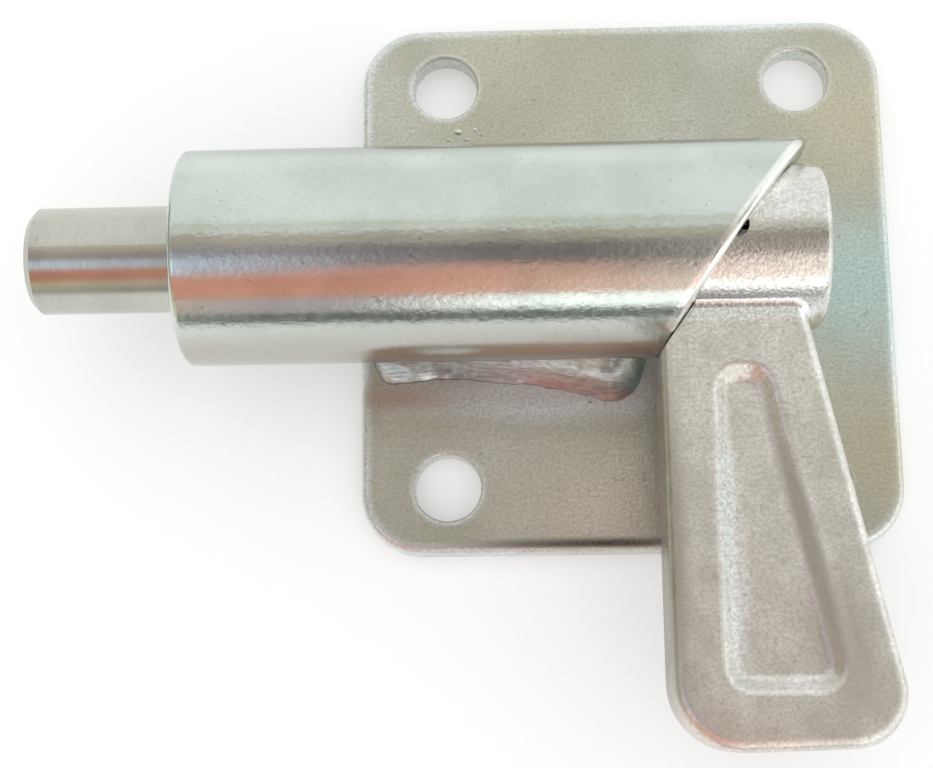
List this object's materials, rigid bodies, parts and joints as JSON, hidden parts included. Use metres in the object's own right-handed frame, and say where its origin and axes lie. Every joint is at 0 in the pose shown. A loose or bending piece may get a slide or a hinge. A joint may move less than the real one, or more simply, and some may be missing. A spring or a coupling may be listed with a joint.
{
  "type": "spring bolt",
  "caption": "Spring bolt on a drilled square plate: a round bolt in a slant-cut tube, drawn back by a swinging handle that climbs the slant.",
  "frame": {"origin": "centre of the fixing plate's back face", "axes": "+Z away from the mounting surface, -X the way the bolt shoots out, -Y the way the handle hangs"},
  "size_m": [0.1018, 0.0902, 0.028],
  "materials": {
    "plate_zinc": "satin zinc plate over pressed steel",
    "tube_zinc": "bright zinc plate over drawn tube",
    "weld_zinc": "zinc plate over a rough weld bead",
    "bolt_zinc": "bright zinc plate over turned steel",
    "handle_zinc": "zinc plate over a grainy casting",
    "bush_steel": "turned steel",
    "spring_steel": "oiled spring steel"
  },
  "bodies": {
    "housing": {"base_plate": "plate_zinc", "barrel": "tube_zinc", "lower_weld": "weld_zinc", "upper_weld": "weld_zinc", "nose_bush": "bush_steel", "stop_washer": "bush_steel", "retaining_ring": "spring_steel", "spring": "spring_steel"},
    "spring_seat": {"thrust_washer": "bush_steel"},
    "bolt": {"bolt_pin": "bolt_zinc", "handle": "handle_zinc", "roll_pin": "spring_steel"}
  },
  "joints": [
    {"name": "bolt_draw", "type": "slide", "parent": "housing", "child": "spring_seat", "axis": [1, 0, 0], "range_m": [0, 0.024], "stiffness_N_per_m": 900, "springref_m": -0.01, "deforming": ["spring"]},
    {"name": "handle_turn", "type": "hinge", "parent": "spring_seat", "child": "bolt", "pos_m": [0, 0, 0.01555], "axis": [-1, 0, 0], "range_deg": [0, 180]}
  ],
  "couplings": [
    {"joint": "handle_turn", "follows": "bolt_draw", "rad_per_m": 130.9}
  ]
}
